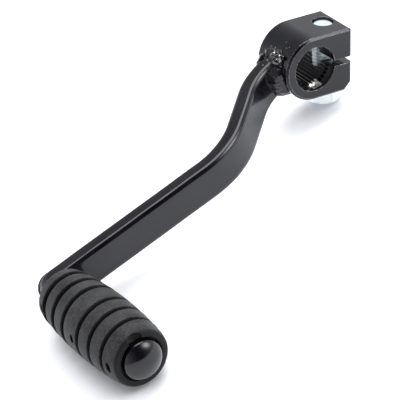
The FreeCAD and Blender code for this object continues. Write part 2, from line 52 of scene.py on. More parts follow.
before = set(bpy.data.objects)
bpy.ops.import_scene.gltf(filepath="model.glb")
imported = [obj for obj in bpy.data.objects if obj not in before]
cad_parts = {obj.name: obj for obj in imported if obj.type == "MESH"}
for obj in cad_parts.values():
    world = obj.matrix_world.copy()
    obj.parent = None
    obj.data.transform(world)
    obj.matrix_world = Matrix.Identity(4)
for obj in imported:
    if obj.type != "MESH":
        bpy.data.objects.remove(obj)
cad_low, cad_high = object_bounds()

MM = 0.001
HUB_TURN = radians(20)
ARM_TURN = HUB_TURN - radians(25.8)
SHARP = radians(32)  # edges that turn more than this stay crisp

HUB_RADIUS = 12.4
BOLT_PLACE = (10.75, 1.0)  # the bolt's axis in the hub frame, X and Y
BAR_THICKNESS = 7.0
BAR_HEIGHT = 14.0
ARM_RISE = 2.1  # middle of the bar above the bore's centre, in the arm frame
ARM_ROOT_Y = 0.6  # middle of the bar's thickness where it meets the hub

SEED = 7
draw = random.Random(SEED)
noise.seed_set(SEED)  # without it, what wobble() gives differs from run to run


def box_mm(node):
    """Lowest and highest corners of a CAD node, in millimetres."""
    low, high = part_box(node)
    return Vector(low) / MM, Vector(high) / MM


# ---------------------------------------------------------------------------------------------------------
# Mesh helpers
# ---------------------------------------------------------------------------------------------------------
def mesh_piece(name, points, faces, turn, material, body, stands_for=(), even_normals=False):
    """A piece from points in millimetres in a frame turned about Y."""
    to_row = Matrix.Rotation(turn, 4, "Y") @ Matrix.Scale(MM, 4)
    mesh = bpy.data.meshes.new(name)
    mesh.from_pydata([to_row @ Vector(point) for point in points], [], faces)
    finish_mesh(mesh)
    mesh.materials.append(material)
    piece = bpy.data.objects.new(name, mesh)
    bpy.context.scene.collection.objects.link(piece)
    if even_normals:
        piece.modifiers.new("even_normals", "WEIGHTED_NORMAL").keep_sharp = True
    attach(piece, body)
    if stands_for:
        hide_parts(*stands_for)
    return piece


def finish_mesh(mesh):
    """Joins doubled points, turns the faces outwards and marks the crisp edges."""
    shape = bmesh.new()
    shape.from_mesh(mesh)
    bmesh.ops.remove_doubles(shape, verts=shape.verts, dist=0.002 * MM)
    bmesh.ops.recalc_face_normals(shape, faces=shape.faces)
    for face in shape.faces:
        face.smooth = True
    for edge in shape.edges:
        edge.smooth = edge.calc_face_angle(0) < SHARP
    shape.to_mesh(mesh)
    shape.free()


def arc(centre, radius, start, end, steps=6):
    """Points of an arc in a plane, angles in degrees."""
    turns = [radians(start + (end - start) * number / steps) for number in range(steps + 1)]
    return [(centre[0] + radius * cos(turn), centre[1] + radius * sin(turn)) for turn in turns]


def bridge(rings, closed=False):
    """Faces between rings of point numbers; a ring of one number is a pole."""
    pairs = list(zip(rings, rings[1:]))
    if closed:
        pairs.append((rings[-1], rings[0]))
    faces = []
    for near, far in pairs:
        count = max(len(near), len(far))
        for number in range(count):
            after = (number + 1) % count
            if len(near) == 1:
                faces.append((near[0], far[after], far[number]))
            elif len(far) == 1:
                faces.append((near[number], near[after], far[0]))
            else:
                faces.append((near[number], near[after], far[after], far[number]))
    return faces


def turned(outline, steps, centre, closed=False):
    """An outline of (place along Y, radius) turned about the line along Y through centre (x, z)."""
    points, rings = [], []
    for place, radius in outline:
        count = 1 if radius < 1e-6 else steps
        rings.append(list(range(len(points), len(points) + count)))
        for number in range(count):
            turn = tau * number / steps
            points.append((centre[0] + radius * cos(turn), place, centre[1] + radius * sin(turn)))
    return points, bridge(rings, closed)


def wobble(point, feature, height):
    """A small shift of a point, smooth over the given feature size."""
    return noise.noise_vector(Vector(point) / feature) * height


# ---------------------------------------------------------------------------------------------------------
# Material helpers
# ---------------------------------------------------------------------------------------------------------
def add_node(tree, kind, inputs=None, **settings):
    """A node; inputs are plain values or the sockets that feed them."""
    made = tree.nodes.new(kind)
    for key, value in settings.items():
        setattr(made, key, value)
    for key, value in (inputs or {}).items():
        if isinstance(value, bpy.types.NodeSocket):
            tree.links.new(value, made.inputs[key])
        else:
            made.inputs[key].default_value = value
    return made


def compute(tree, operation, first, second=0.0):
    """One sum on two numbers."""
    return add_node(tree, "ShaderNodeMath", {0: first, 1: second}, operation=operation).outputs[0]


def spread(tree, value, low, high, to_low, to_high):
    """Brings a number from one range to another, held at the ends."""
    inputs = {"Value": value, "From Min": low, "From Max": high, "To Min": to_low, "To Max": to_high}
    return add_node(tree, "ShaderNodeMapRange", inputs).outputs["Result"]


def grain(tree, place, size_mm, detail=2.0, rough=0.5):
    """Cloudy noise with features of about size_mm."""
    inputs = {"Vector": place, "Scale": 1 / (size_mm * MM), "Detail": detail, "Roughness": rough}
    return add_node(tree, "ShaderNodeTexNoise", inputs).outputs["Fac"]


def specks(tree, place, size_mm, share):
    """Scattered dots, 1 inside and 0 outside; share is their radius as a part of their spacing."""
    inputs = {"Vector": place, "Scale": 1 / (size_mm * MM)}
    cells = add_node(tree, "ShaderNodeTexVoronoi", inputs)
    return spread(tree, cells.outputs["Distance"], share * 0.7, share, 1.0, 0.0)


def blend_colours(tree, share, first, second):
    """first where share is 0, second where it is 1."""
    mixer = add_node(tree, "ShaderNodeMix", {"Factor": share}, data_type="RGBA")
    for socket, colour in ((mixer.inputs[6], first), (mixer.inputs[7], second)):
        if isinstance(colour, bpy.types.NodeSocket):
            tree.links.new(colour, socket)
        else:
            socket.default_value = (*colour, 1)
    return mixer.outputs[2]


def bumped(tree, height, distance_mm, strength, base=None):
    """A normal bent by a height from 0 to 1 that stands for distance_mm."""
    inputs = {"Height": height, "Distance": distance_mm * MM, "Strength": strength}
    if base is not None:
        inputs["Normal"] = base
    return add_node(tree, "ShaderNodeBump", inputs).outputs["Normal"]


def new_material(name):
    """A material, its tree, its main shader and the place on the object."""
    material = bpy.data.materials.new(name)
    material.use_nodes = True
    tree = material.node_tree
    shader = tree.nodes["Principled BSDF"]
    place = tree.nodes.new("ShaderNodeTexCoord").outputs["Object"]
    return material, tree, shader, place


def feed(tree, shader, **sources):
    """Links sources to the shader's sockets, named with underscores."""
    for key, source in sources.items():
        tree.links.new(source, shader.inputs[key.replace("_", " ")])


def edge_mask(tree, rounded, low, high):
    """1 on corners, 0 on flats, from how far a rounded normal leans from the true one."""
    true_normal = tree.nodes.new("ShaderNodeNewGeometry").outputs["Normal"]
    match = add_node(tree, "ShaderNodeVectorMath", {0: rounded, 1: true_normal}, operation="DOT_PRODUCT")
    return spread(tree, match.outputs["Value"], 1 - low, 1 - high, 0.0, 1.0)


ENAMEL_BLACK = (0.0018, 0.0018, 0.0034)
ENAMEL_CLOUDED = (0.0080, 0.0080, 0.0125)
ENAMEL_THIN = (0.045, 0.046, 0.050)
STEEL_BARE = (0.62, 0.61, 0.60)
# near-black steel of the bore
STEEL_BORE_DARK = (0.018, 0.018, 0.020)
# painted highlight: near-white steel for the bright patch on the bore's lower wall
STEEL_PAINTED_HIGHLIGHT = (0.95, 0.94, 0.91)
STEEL_STAIN = (0.06, 0.057, 0.054)

PAINT_EDGE = 0.25  # radius that the paint gives to a sharp edge
BARE_BORE_RADII = (8.82, 8.95)  # bare within the first, painted beyond the second
BARE_BORE_HALF = 9.6  # the bore is bare this far from the hub's middle
# The patch is a painted highlight: where it sits on the bore's lower wall and how far it reaches.
HIGHLIGHT_PATCH_TURN = radians(-95)
HIGHLIGHT_PATCH_HALF = radians(13)
HIGHLIGHT_PATCH_FADE = 0.012  # in the cosine of the angle from the patch's middle
HIGHLIGHT_PATCH_Y = (-8.6, -4.4)


def bore_masks(tree, place):
    """Where the hub is unpainted: its bore, and a patch of it coloured near-white steel as a painted
    highlight.
    """
    across = add_node(tree, "ShaderNodeSeparateXYZ", {"Vector": place}).outputs
    squares = [compute(tree, "POWER", across[axis], 2.0) for axis in ("X", "Z")]
    from_axis = compute(tree, "SQRT", compute(tree, "ADD", *squares))
    inner, outer = BARE_BORE_RADII
    bore = spread(tree, from_axis, inner * MM, outer * MM, 1.0, 0.0)
    inside = compute(tree, "LESS_THAN", compute(tree, "ABSOLUTE", across["Y"]), BARE_BORE_HALF * MM)
    bore = compute(tree, "MULTIPLY", bore, inside)
    along = [
        compute(tree, "MULTIPLY", across["X"], cos(HIGHLIGHT_PATCH_TURN)),
        compute(tree, "MULTIPLY", across["Z"], sin(HIGHLIGHT_PATCH_TURN)),
    ]
    toward = compute(tree, "DIVIDE", compute(tree, "ADD", *along), from_axis)
    ragged = compute(tree, "MULTIPLY", grain(tree, place, 0.8, 3.0), 0.015)
    edge = cos(HIGHLIGHT_PATCH_HALF)
    patch = spread(tree, compute(tree, "ADD", toward, ragged), edge, edge + HIGHLIGHT_PATCH_FADE, 0.0, 1.0)
    near, far = HIGHLIGHT_PATCH_Y
    within = compute(tree, "ABSOLUTE", compute(tree, "SUBTRACT", across["Y"], (near + far) / 2 * MM))
    patch = compute(tree, "MULTIPLY", patch, compute(tree, "LESS_THAN", within, (far - near) / 2 * MM))
    return bore, compute(tree, "MULTIPLY", patch, bore)


def enamel_material(
    name,
    peel_mm=1.4,
    peel_strength=0.22,
    rough=(0.10, 0.17),
    wear=0.55,
    gleam=0.45,
    clouds=1.0,
    bare_bore=False,
    burnt=False,
):
    """Stoved black enamel on steel: orange peel, dust nibs, thin paint and small chips along the edges.

    rough is the roughness of its glossiest and dullest parts, wear says how much of the edges has chipped,
    gleam how strongly it reflects and clouds how far its paler patches show.  bare_bore leaves the hub's bore
    unpainted, near-black steel with a near-white patch that is a painted highlight, and burnt breaks the
    paint into flakes over bare steel.
    """
    material, tree, shader, place = new_material(name)
    rounded = add_node(tree, "ShaderNodeBevel", {"Radius": PAINT_EDGE * MM}, samples=6).outputs["Normal"]
    patchy = grain(tree, place, 0.9, 3.0)
    corner = edge_mask(tree, rounded, 0.006, 0.05)
    chipped = compute(tree, "MULTIPLY", corner, spread(tree, patchy, 1 - wear, 1.06 - wear, 0.0, 1.0))
    nibs = specks(tree, place, 2.6, 0.045)
    cloud = grain(tree, place, 14, 3.0)
    thin_nibs = compute(tree, "MULTIPLY", nibs, 0.5)
    thin = compute(tree, "MAXIMUM", compute(tree, "MULTIPLY", corner, 0.6), thin_nibs)
    clouded = spread(tree, cloud, 0.38, 0.66, 0.0, clouds)
    colour = blend_colours(tree, clouded, ENAMEL_BLACK, ENAMEL_CLOUDED)
    colour = blend_colours(tree, thin, colour, ENAMEL_THIN)
    steel = compute(tree, "MULTIPLY", chipped, 0.7)
    gloss = spread(tree, cloud, 0.35, 0.7, *rough)
    bare = STEEL_BARE
    if burnt:
        flakes = spread(tree, grain(tree, place, 2.0), 0.59, 0.64, 0.0, 1.0)
        steel = compute(tree, "MAXIMUM", steel, flakes)
    if bare_bore:
        bore, patch = bore_masks(tree, place)
        steel = compute(tree, "MAXIMUM", steel, bore)
        gloss = compute(tree, "ADD", gloss, compute(tree, "MULTIPLY", bore, 0.06))
        bare = blend_colours(tree, bore, STEEL_BARE, STEEL_BORE_DARK)
        # painted highlight: the patch gets near-white steel
        bare = blend_colours(tree, patch, bare, STEEL_PAINTED_HIGHLIGHT)
    stain = compute(tree, "MULTIPLY", grain(tree, place, 2.2, 4.0), 0.3)
    colour = blend_colours(tree, steel, colour, blend_colours(tree, stain, bare, STEEL_STAIN))
    fine = compute(tree, "MULTIPLY", grain(tree, place, 0.18), 0.25)
    height = compute(tree, "ADD", grain(tree, place, peel_mm, 2.0, 0.45), fine)
    height = compute(tree, "ADD", height, compute(tree, "MULTIPLY", nibs, 0.6))
    normal = bumped(tree, height, 0.03, peel_strength, rounded)
    feed(tree, shader, Base_Color=colour, Metallic=steel, Roughness=gloss, Normal=normal)
    shader.inputs["IOR"].default_value = 1.5
    shader.inputs["Specular IOR Level"].default_value = gleam
    shader.inputs["Coat Weight"].default_value = 0.15
    shader.inputs["Coat Roughness"].default_value = 0.05
    return material


grip_low, grip_high = box_mm("grip_rubber")

RUBBER_DARK = (0.004, 0.004, 0.0041)
RUBBER_PALE = (0.072, 0.072, 0.073)
# colour of the painted shade in the grooves
RUBBER_GROOVE_SHADE = (0.002, 0.002, 0.002)
RUBBER_DUST = (0.14, 0.14, 0.14)
PAINTED_END_SHADE_FADE = (0.3, 1.4)  # painted shade darkens the end face and fades out between these distances in from it


def rubber_material():
    """Moulded rubber: matt, fine grained and mottled, with painted shade that darkens its end face and its
    grooves.
    """
    material, tree, shader, place = new_material("grip_rubber")
    cloud = grain(tree, place, 9, 4.0, 0.6)
    mottle = grain(tree, place, 0.7, 4.0, 0.7)
    broad = compute(tree, "MULTIPLY", cloud, 0.4)
    shade = compute(tree, "ADD", broad, compute(tree, "MULTIPLY", mottle, 0.6))
    along = add_node(tree, "ShaderNodeSeparateXYZ", {"Vector": place}).outputs["Y"]
    # Painted shade: the end face is kept dark, and the mottle comes in between these two places.
    start, end = [(grip_low.y + inset) * MM for inset in PAINTED_END_SHADE_FADE]
    outside_end_shade = spread(tree, along, start, end, 0.02, 1.0)
    # the mottled paleness is taken away on the end face, which is left dark as painted shade
    pale = compute(tree, "MULTIPLY", spread(tree, shade, 0.37, 0.65, 0.0, 1.0), outside_end_shade)
    colour = blend_colours(tree, pale, RUBBER_DARK, RUBBER_PALE)
    # Painted shade: grooves and other closed-in spots are made darker and duller, according to how closed in
    # each spot is.
    reach = {"Distance": 2.4 * MM}
    groove_openness = add_node(tree, "ShaderNodeAmbientOcclusion", reach, samples=8, only_local=True)
    painted_groove_shade = spread(tree, groove_openness.outputs["AO"], 0.50, 0.95, 1.0, 0.0)
    colour = blend_colours(tree, painted_groove_shade, colour, RUBBER_GROOVE_SHADE)
    dust = specks(tree, place, 1.7, 0.05)
    colour = blend_colours(tree, compute(tree, "MULTIPLY", dust, 0.35), colour, RUBBER_DUST)
    gloss = spread(tree, mottle, 0.35, 0.65, 0.45, 0.62)
    gloss = compute(tree, "MAXIMUM", gloss, painted_groove_shade)
    pebble = add_node(tree, "ShaderNodeTexVoronoi", {"Vector": place, "Scale": 1 / (0.32 * MM)})
    height = compute(tree, "ADD", compute(tree, "MULTIPLY", pebble.outputs["Distance"], 0.5), mottle)
    normal = bumped(tree, height, 0.12, 0.8)
    feed(tree, shader, Base_Color=colour, Roughness=gloss, Normal=normal)
    shader.inputs["IOR"].default_value = 1.48
    shader.inputs["Specular IOR Level"].default_value = 0.22
    shader.inputs["Sheen Weight"].default_value = 0.04
    shader.inputs["Sheen Roughness"].default_value = 0.5
    return material


ZINC_BLUE = (0.90, 0.96, 0.98)
ZINC_GREY = (0.80, 0.87, 0.90)
ZINC_STAIN = (0.45, 0.50, 0.50)


def zinc_material():
    """Bright zinc plate with a faint blue passivation, dull stains and a fine grain."""
    material, tree, shader, place = new_material("zinc_plate")
    rounded = add_node(tree, "ShaderNodeBevel", {"Radius": 0.12 * MM}, samples=4).outputs["Normal"]
    cloud = grain(tree, place, 3.0, 4.0)
    stain = grain(tree, place, 0.7, 4.0, 0.65)
    colour = blend_colours(tree, spread(tree, cloud, 0.35, 0.7, 0.0, 1.0), ZINC_BLUE, ZINC_GREY)
    colour = blend_colours(tree, spread(tree, stain, 0.58, 0.78, 0.0, 0.5), colour, ZINC_STAIN)
    gloss = spread(tree, stain, 0.3, 0.75, 0.42, 0.62)
    height = compute(tree, "ADD", stain, compute(tree, "MULTIPLY", grain(tree, place, 0.15), 0.4))
    normal = bumped(tree, height, 0.02, 0.5, rounded)
    feed(tree, shader, Base_Color=colour, Roughness=gloss, Normal=normal)
    shader.inputs["Metallic"].default_value = 1.0
    return material


enamel = enamel_material("black_enamel")
enamel_hub = enamel_material("black_enamel_hub", peel_mm=1.1, rough=(0.16, 0.24), gleam=0.36, bare_bore=True)
enamel_weld = enamel_material(
    "black_enamel_weld", peel_mm=1.2, peel_strength=0.4, rough=(0.08, 0.16), wear=0.4
)
enamel_spoiled = enamel_material(
    "black_enamel_spoiled", peel_mm=1.3, peel_strength=0.6, rough=(0.09, 0.18), wear=0.5, burnt=True
)
enamel_dome = enamel_material(
    "black_enamel_dome", peel_mm=3.0, peel_strength=0.08, rough=(0.15, 0.20), wear=0.3, clouds=0.1
)
rubber = rubber_material()
zinc = zinc_material()

# ---------------------------------------------------------------------------------------------------------
# Hub and spring washer: the CAD shapes, with their materials
# ---------------------------------------------------------------------------------------------------------
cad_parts["clamp_hub"].material_slots[0].material = enamel_hub
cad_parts["lock_washer"].material_slots[0].material = zinc


# ---------------------------------------------------------------------------------------------------------
# Arm: a flat bar on edge, bent twice, round at the peg and coped onto the hub
# ---------------------------------------------------------------------------------------------------------
ARM_START = 8.0  # the bar's middle line starts this far from the bore's centre, inside the hub
TIP_CENTRE = 125.7  # bore's centre to the middle of the round end, along X
BEND_ONE = Vector((-19.5, ARM_ROOT_Y))  # corners of the middle line, X and Y
BEND_TWO = Vector((-48.4, -23.2))
PEG_CROSSING = Vector((-127.0, -16.3))  # where the peg's axis crosses it
BEND_RADII = (25.0, 30.0)
BAR_EDGE = 2.0  # radius of the bar's rolled edges
BAR_WAVE = (11, 0.07)  # length and height of the bar's slight waviness
RUN_STEP = 2.0  # spacing of the bar's rings on a straight run
BEND_STEP = radians(3)
TIP_STEPS = 24  # steps round the tip, and from edge to edge of a broad face


def path_stops():
    """Places and directions along the bar's middle, from the hub to the centre of the round tip."""
    heading_out = (PEG_CROSSING - BEND_TWO).normalized()
    tip = PEG_CROSSING - heading_out * ((PEG_CROSSING.x + TIP_CENTRE) / heading_out.x)
    corners = [Vector((-ARM_START, ARM_ROOT_Y)), BEND_ONE, BEND_TWO, tip]
    stops = []
    at = corners[0]
    for number, radius in enumerate(BEND_RADII, start=1):
        before = (corners[number] - corners[number - 1]).normalized()
        after = (corners[number + 1] - corners[number]).normalized()
        turn = before.angle_signed(after)
        reach = radius * tan(abs(turn) / 2)
        start = corners[number] - before * reach
        stops += straight_stops(at, start, before)
        side = -1 if turn > 0 else 1
        inward = Vector((-before.y, before.x)) * side
        centre = start + inward * radius
        steps = round(abs(turn) / BEND_STEP)
        for step in range(1, steps):
            swing = Matrix.Rotation(-turn * step / steps, 2)
            stops.append((centre + swing @ (start - centre), swing @ before))
        at = corners[number] + after * reach
    stops += straight_stops(at, tip, heading_out)
    stops.append((tip, heading_out))
    return stops


def straight_stops(start, end, heading):
    """Even stops from start up to, but not including, end."""
    steps = max(1, round((end - start).length / RUN_STEP))
    return [(start + (end - start) * step / steps, heading) for step in range(steps)]


def cell(one, two):
    """The four corners of a cell of a grid, in order round it."""
    return (one, two), (one + 1, two), (one + 1, two + 1), (one, two + 1)


def make_arm():
    """The bar, as grids over its edges, tip and broad faces, with its root cut to the hub's round back."""
    half, height = BAR_THICKNESS / 2, BAR_HEIGHT / 2
    inner = height - BAR_EDGE
    rim = arc((half - BAR_EDGE, inner), BAR_EDGE, 0, 90) + arc((BAR_EDGE - half, inner), BAR_EDGE, 90, 180)
    rim_ends = {"far": 0, "near": len(rim) - 1}  # where each broad face meets the rim
    stops = path_stops()
    last = len(stops) - 1
    points, numbers = [], {}

    def place_point(key, middle, heading, across, outward, rise):
        """One point: across the thickness, and out from the bar's middle line by outward and rise."""
        side = Vector((-heading.y, heading.x))
        flat = middle + side * across + heading * outward
        point = Vector((flat.x, flat.y, ARM_RISE + rise))
        if key[1] == 0:
            point.x = -sqrt(HUB_RADIUS**2 - point.z**2)
        else:
            point += wobble(point, *BAR_WAVE)
        numbers[key] = len(points)
        points.append(point)

    levels = [inner * cos(pi * level / TIP_STEPS) for level in range(TIP_STEPS + 1)]
    for stop, (middle, heading) in enumerate(stops):
        for edge, sign in (("top", 1), ("bottom", -1)):
            for place, (across, rise) in enumerate(rim):
                place_point((edge, stop, place), middle, heading, across, 0, rise * sign)
        for face, across in (("far", half), ("near", -half)):
            for level in range(1, TIP_STEPS):
                place_point((face, stop, level), middle, heading, across, 0, levels[level])
    middle, heading = stops[last]
    for step in range(1, TIP_STEPS):
        swing = pi * step / TIP_STEPS
        for place, (across, out) in enumerate(rim):
            outward, rise = out * sin(swing), out * cos(swing)
            place_point(("tip", last + step, place), middle, heading, across, outward, rise)

    def rim_number(station, place):
        """Point number on the strip that runs along the top, round the tip and back along the bottom."""
        if station <= last:
            return numbers["top", station, place]
        if station < last + TIP_STEPS:
            return numbers["tip", station, place]
        return numbers["bottom", 2 * last + TIP_STEPS - station, place]

    def face_number(face, stop, level):
        """Point number on a broad face; its first and last levels are the rim's."""
        if level == 0:
            return numbers["top", stop, rim_ends[face]]
        if level == TIP_STEPS:
            return numbers["bottom", stop, rim_ends[face]]
        return numbers[face, stop, level]

    faces = []
    for station in range(2 * last + TIP_STEPS):
        for place in range(len(rim) - 1):
            faces.append([rim_number(*corner) for corner in cell(station, place)])
    for face, place in rim_ends.items():
        for stop in range(last):
            for level in range(TIP_STEPS):
                faces.append([face_number(face, *corner) for corner in cell(stop, level)])
        for level in range(TIP_STEPS):
            loop = [
                face_number(face, last, level),
                rim_number(last + level, place),
                rim_number(last + level + 1, place),
                face_number(face, last, level + 1),
            ]
            faces.append(list(dict.fromkeys(loop)))
    for edge in ("top", "bottom"):
        faces.append([numbers[edge, 0, place] for place in range(len(rim))])
    for level in range(TIP_STEPS):
        corners = (("far", level), ("near", level), ("near", level + 1), ("far", level + 1))
        faces.append([face_number(face, 0, at) for face, at in corners])
    stands_for = ("shift_arm",)
    mesh_piece("arm_bar", points, faces, ARM_TURN, enamel, "lever", stands_for, True)


make_arm()


# ---------------------------------------------------------------------------------------------------------
# Welds
# ---------------------------------------------------------------------------------------------------------
BEAD_RIPPLE = 1.5  # spacing of the ripples
BEAD_RIPPLE_DEPTH = 0.03
BEAD_ROUND = 44  # points round a bead
BEAD_STEPS = 150  # rings along a bead
BURIED = 0.35  # size of the part of a bead that is inside the metal
SIDE_REACH = radians(36)  # half of the turn round the hub that a side bead covers
SIDE_MIDDLE = asin(ARM_RISE / HUB_RADIUS)
SIDE_LENGTH = 2 * SIDE_REACH * (HUB_RADIUS + 2)
SIDE_LEG = 4.2
SIDE_ROUGH = 0.16
EDGE_BEYOND = 1.6  # how far an edge bead runs past the bar's faces
EDGE_LENGTH = BAR_THICKNESS + 2 * EDGE_BEYOND


def make_bead(place, line, length, leg, rough_height, material):
    """A rippled bead in the corner of two faces; line(share) gives the corner and the ways along both."""
    points, rings = [], []
    for step in range(BEAD_STEPS + 1):
        share = step / BEAD_STEPS
        corner, along_one, along_two = line(share)
        ends = sqrt(max(0.0, 1 - abs(2 * share - 1) ** 3.5))  # rounds both ends off
        ring = []
        for number in range(BEAD_ROUND):
            turn = tau * number / BEAD_ROUND
            lean = cos(turn - pi / 4)  # 1 halfway between the two faces
            shown = min(1.0, max(0.0, (lean - 0.35) / 0.25))  # 0 inside the metal, 1 outside it
            flat = 1 - 0.14 * max(0.0, sin(2 * turn)) * shown
            way = along_one * cos(turn) + along_two * sin(turn)
            phase = share * length / BEAD_RIPPLE + 0.45 * sin(2 * turn) * shown
            phase += 0.35 * noise.noise(corner / 3)
            ripple = 1 - BEAD_RIPPLE_DEPTH * (1 - abs(sin(pi * phase))) ** 1.4 * shown
            lump = 1 + rough_height * noise.noise(corner / 1.9 + way * 1.6)
            lump += 0.5 * rough_height**2 * noise.noise(corner * 1.1 + way * 4)
            radius = leg * (BURIED + (1 - BURIED) * shown) * flat * ripple * lump * ends
            ring.append(len(points))
            points.append(corner + way * max(radius, 0.02))
        rings.append(ring)
    faces = bridge(rings)
    faces.append(rings[0][::-1])
    faces.append(rings[-1])
    stands_for = (f"weld_{place}",)
    mesh_piece(f"bead_{place}", points, faces, ARM_TURN, material, "lever", stands_for)


def side_line(side):
    """The corner between a broad face of the bar and the hub's round back."""

    def line(share):
        turn = SIDE_MIDDLE + SIDE_REACH * (2 * share - 1)
        outward = Vector((-cos(turn), 0, sin(turn)))
        corner = outward * HUB_RADIUS + Vector((0, ARM_ROOT_Y + side * BAR_THICKNESS / 2, 0))
        return corner, Vector((0, side, 0)), outward

    return line


def edge_line(side):
    """The corner between the bar's upper or lower edge and the hub's round back."""
    level = ARM_RISE + side * BAR_HEIGHT / 2
    turn = asin(level / HUB_RADIUS)
    upward = Vector((sin(turn), 0, cos(turn))) * side

    def line(share):
        across = (BAR_THICKNESS / 2 + EDGE_BEYOND) * (2 * share - 1)
        corner = Vector((-HUB_RADIUS * cos(turn), ARM_ROOT_Y + across, level))
        return corner, Vector((-1, 0, 0)), upward

    return line


for side, place in ((-1, "foot_side"), (1, "engine_side")):
    make_bead(place, side_line(side), SIDE_LENGTH, SIDE_LEG, SIDE_ROUGH, enamel_weld)
make_bead("upper_edge", edge_line(1), EDGE_LENGTH, 2.9, 0.55, enamel_spoiled)
make_bead("lower_edge", edge_line(-1), EDGE_LENGTH, 3.0, 0.25, enamel_weld)

PLUG_RADIUS = 5.8
PLUG_HEIGHT = 1.6
PLUG_BURIED = 0.8  # how far its skirt goes into the bar
PLUG_RINGS = 30
PLUG_STEPS = 72


def make_plug():
    """The button of weld over the spigot's end: a low dome with the ripples of one circling run."""
    foot = PEG_CROSSING.y + BAR_THICKNESS / 2
    points, rings = [], []
    for ring in range(PLUG_RINGS + 1):
        share = ring / PLUG_RINGS
        count = 1 if ring == PLUG_RINGS else PLUG_STEPS
        numbers = []
        for number in range(count):
            turn = tau * number / PLUG_STEPS
            out = PLUG_RADIUS * cos(share * pi / 2)
            run = 1 + 0.07 * abs(sin(4.5 * turn + 2.2 * share)) * sin(share * pi)
            rise = PLUG_HEIGHT * sin(share * pi / 2) * run
            point = Vector((PEG_CROSSING.x + out * cos(turn), foot + rise, ARM_RISE + out * sin(turn)))
            point += wobble(point, 1.6, 0.16 * (0.3 + share))
            numbers.append(len(points))
            points.append(point)
        rings.append(numbers)
    buried = list(range(len(points), len(points) + PLUG_STEPS))
    points += [points[number] - Vector((0, PLUG_BURIED, 0)) for number in rings[0]]
    faces = bridge([buried, *rings])
    faces.append(buried[::-1])
    mesh_piece("plug_button", points, faces, ARM_TURN, enamel_weld, "lever", ("weld_plug",))


make_plug()

SPATTER_COUNT = 12  # droplets: two on the hub for each one on the bar
KNOB_COUNT = 7  # larger lumps along the upper bead


def on_hub(turn, height, across):
    """A spot on or above the hub's round back, and the way out from the hub there."""
    outward = Vector((-cos(turn), 0, sin(turn)))
    return outward * (HUB_RADIUS + height) + Vector((0, across, 0)), outward


def make_spatter():
    """Droplets of weld metal that froze on the hub and on the bar's upper edge, under the paint."""
    shape = bmesh.new()
    for number in range(SPATTER_COUNT):
        size = 0.15 + 0.4 * draw.random() ** 2.5
        if number % 3:
            spot, outward = on_hub(radians(draw.uniform(44, 80)), 0, draw.uniform(-6.5, 2.5))
        else:
            outward = Vector((0, 0, 1))
            spot = Vector((draw.uniform(-17, -10), draw.uniform(-1.6, 2.8), ARM_RISE + BAR_HEIGHT / 2))
        stand = outward.to_track_quat("Z", "X").to_matrix().to_4x4()
        stretch = Matrix.Diagonal((draw.uniform(0.8, 1.4), 1, draw.uniform(0.5, 0.9), 1))
        spin = Matrix.Rotation(draw.uniform(0, tau), 4, "Z")
        place = Matrix.Translation(spot) @ stand @ spin @ stretch @ Matrix.Scale(size, 4)
        bmesh.ops.create_icosphere(shape, subdivisions=2, radius=1, matrix=place)
    for number in range(KNOB_COUNT):
        turn = radians(draw.uniform(40, 62))
        spot, outward = on_hub(turn, draw.uniform(0.2, 1.6), draw.uniform(-5.4, -2.2))
        spin = Matrix.Rotation(draw.uniform(0, tau), 4, outward)
        sizes = [draw.uniform(*span) for span in ((0.7, 1.5), (0.7, 1.2), (0.6, 1.0))]
        stretch = Matrix.Diagonal((*sizes, 1))
        place = Matrix.Translation(spot) @ spin @ stretch @ Matrix.Scale(draw.uniform(0.7, 1.3), 4)
        bmesh.ops.create_icosphere(shape, subdivisions=3, radius=1, matrix=place)
    points = [vertex.co + wobble(vertex.co, 0.9, 0.22) for vertex in shape.verts]
    faces = [[vertex.index for vertex in face.verts] for face in shape.faces]
    shape.free()
    mesh_piece("weld_spatter", points, faces, ARM_TURN, enamel_spoiled, "lever")


make_spatter()

# ---------------------------------------------------------------------------------------------------------
# Foot peg and rubber grip, both turned about the same line along Y
# ---------------------------------------------------------------------------------------------------------
peg_low, peg_high = box_mm("foot_peg")
PEG_AXIS = ((grip_low.x + grip_high.x) / 2, (grip_low.z + grip_high.z) / 2)
SPIGOT_RADIUS = 4.0
SPIGOT_CHAMFER = 0.3
ROD_RADIUS = 6.0
ROD_CHAMFER = 0.4
ROD_START = -20.9
HEAD_START = -73.0
HEAD_EDGE = 0.5  # radius of the corner at the back of the peg's head
DOME_HEIGHT = 3.4
DOME_STEPS = 36
CORNER_STEPS = 8
CORNER_POINTS = 8  # points of the dome that its soft corner takes the place of
CORNER_RUN = 0.6  # how far the soft corner reaches along the head


